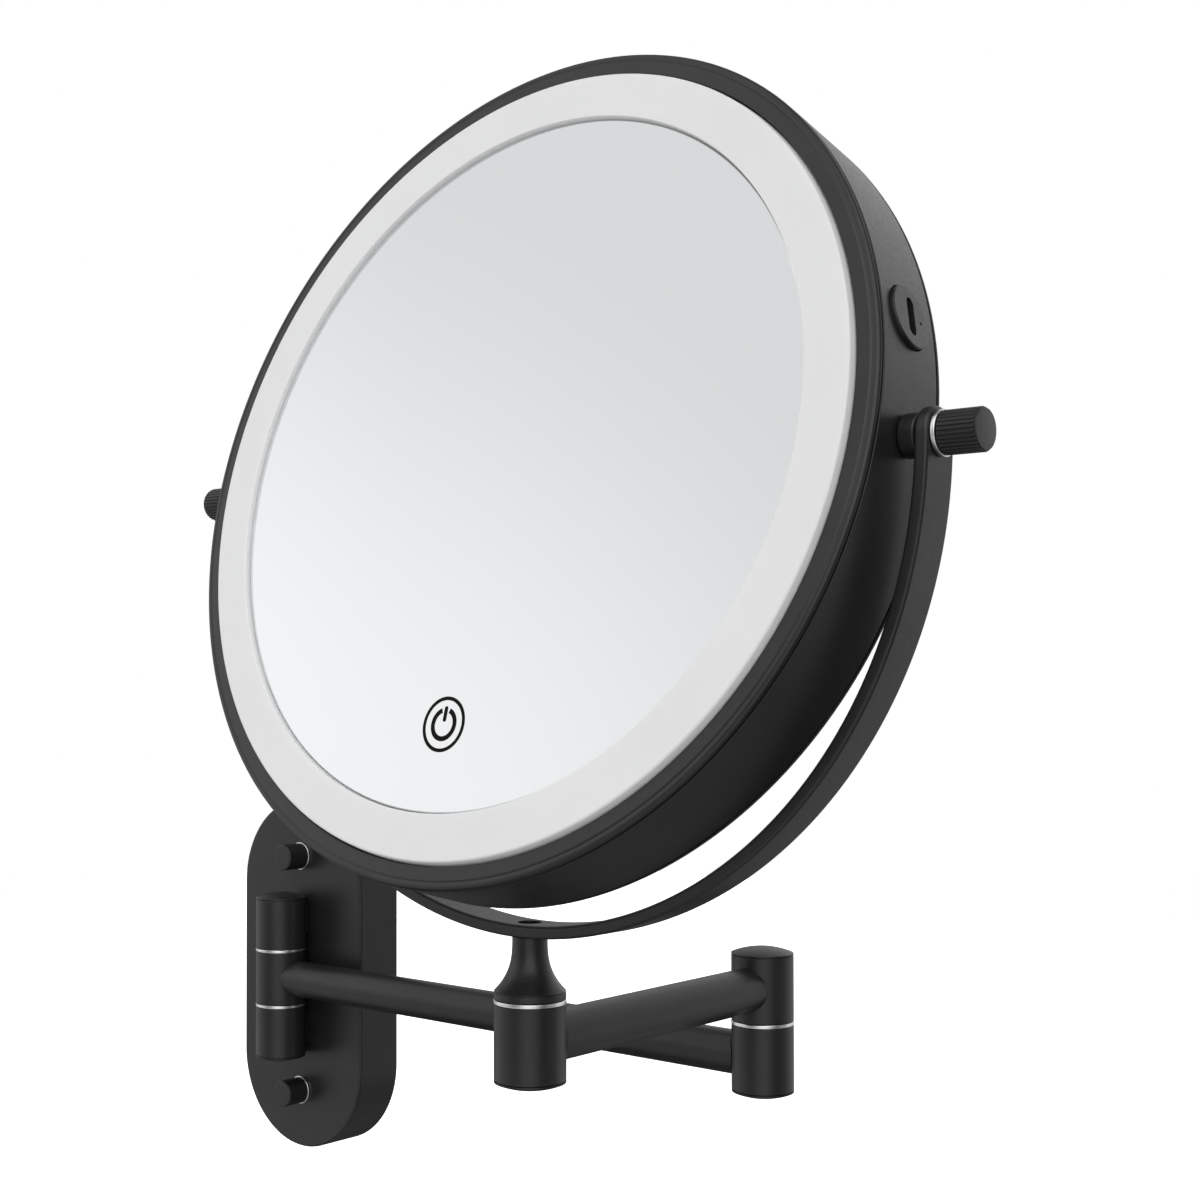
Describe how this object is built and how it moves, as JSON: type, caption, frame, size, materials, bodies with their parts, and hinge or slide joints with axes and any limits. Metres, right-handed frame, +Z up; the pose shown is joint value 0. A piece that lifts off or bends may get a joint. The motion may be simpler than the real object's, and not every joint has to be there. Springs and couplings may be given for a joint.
{
  "type": "extendable wall mirror",
  "caption": "Wall plate with a two-part swinging arm and a round two-sided mirror with a light ring, tilting in a half-ring yoke.",
  "frame": {"origin": "centre of the wall bracket's back face, on the wall's surface", "axes": "+Y into the wall, -Y out into the room, +Z up, +X to the right as seen from the room"},
  "size_m": [0.368, 0.166, 0.3296],
  "materials": {
    "black_paint": "fine matt black powder coat",
    "bright_chrome": "bright polished plating",
    "plain_steel": "plain zinc-plated steel",
    "mirror_glass": "polished silvered glass",
    "diffuser": "frosted white light diffuser, switched off",
    "white_plastic": "plain moulded white",
    "circuit_board": "green solder mask",
    "battery_wrap": "blue heat-shrink wrap",
    "nylon": "natural nylon"
  },
  "bodies": {
    "wall_base": {"wall_plate": "black_paint", "wall_bracket": "plain_steel", "bracket_stud_upper": "plain_steel", "bracket_stud_lower": "plain_steel", "cap_washer_upper": "bright_chrome", "cap_washer_lower": "bright_chrome", "cap_nut_upper": "black_paint", "cap_nut_lower": "black_paint", "knuckle_screw_upper": "plain_steel", "knuckle_screw_lower": "plain_steel", "wall_knuckle_upper": "black_paint", "wall_knuckle_lower": "black_paint", "wall_ring_upper": "bright_chrome", "wall_ring_lower": "bright_chrome", "wall_cap_upper": "black_paint", "wall_cap_lower": "black_paint", "wall_hinge_pin": "plain_steel"},
    "arm_1": {"arm_1_wall_knuckle": "black_paint", "wall_bush": "nylon", "arm_1_tube": "black_paint", "arm_1_elbow_knuckle": "black_paint", "elbow_cap_lower": "black_paint", "elbow_pin": "plain_steel"},
    "arm_2": {"elbow_ring": "bright_chrome", "arm_2_elbow_knuckle": "black_paint", "elbow_bush": "nylon", "elbow_cap_upper": "black_paint", "arm_2_tube": "black_paint", "arm_2_hub_knuckle": "black_paint", "hub_bush": "nylon", "hub_cap": "black_paint", "hub_ring": "bright_chrome"},
    "yoke": {"hub_pin": "plain_steel", "yoke_post": "black_paint", "yoke_arch": "black_paint", "yoke_screw": "plain_steel"},
    "mirror_head": {"drum_shell": "black_paint", "front_bezel": "black_paint", "light_ring": "diffuser", "front_mirror": "mirror_glass", "carrier_plate": "white_plastic", "led_board": "circuit_board", "touch_sensor": "circuit_board", "rear_bezel": "black_paint", "rear_mirror": "mirror_glass", "chassis_plate": "white_plastic", "battery_pack": "battery_wrap", "control_board": "circuit_board", "usb_plate": "black_paint", "usb_socket": "plain_steel", "pivot_stud_right": "plain_steel", "pivot_stud_left": "plain_steel", "pivot_spacer_right": "black_paint", "pivot_spacer_left": "black_paint", "knob_washer_right": "bright_chrome", "knob_washer_left": "bright_chrome"},
    "knob_right": {"knob_right": "black_paint"},
    "knob_left": {"knob_left": "black_paint"}
  },
  "joints": [
    {"name": "wall_swing", "type": "hinge", "parent": "wall_base", "child": "arm_1", "pos_m": [0, -0.0276, 0], "axis": [0, 0, 1], "range_deg": [-181.6, 0]},
    {"name": "elbow_swing", "type": "hinge", "parent": "arm_1", "child": "arm_2", "pos_m": [0.21038, -0.02466, 0], "axis": [0, 0, 1], "continuous": true},
    {"name": "head_swivel", "type": "hinge", "parent": "arm_2", "child": "yoke", "pos_m": [0.21126, -0.12596, 0], "axis": [0, 0, 1], "continuous": true},
    {"name": "mirror_tilt", "type": "hinge", "parent": "yoke", "child": "mirror_head", "pos_m": [0.21126, -0.12596, 0.1603], "axis": [1, 0, 0], "continuous": true},
    {"name": "knob_right_turn", "type": "hinge", "parent": "mirror_head", "child": "knob_right", "pos_m": [0.21126, -0.12596, 0.1603], "axis": [1, 0, 0], "continuous": true},
    {"name": "knob_left_turn", "type": "hinge", "parent": "mirror_head", "child": "knob_left", "pos_m": [0.21126, -0.12596, 0.1603], "axis": [-1, 0, 0], "continuous": true}
  ]
}
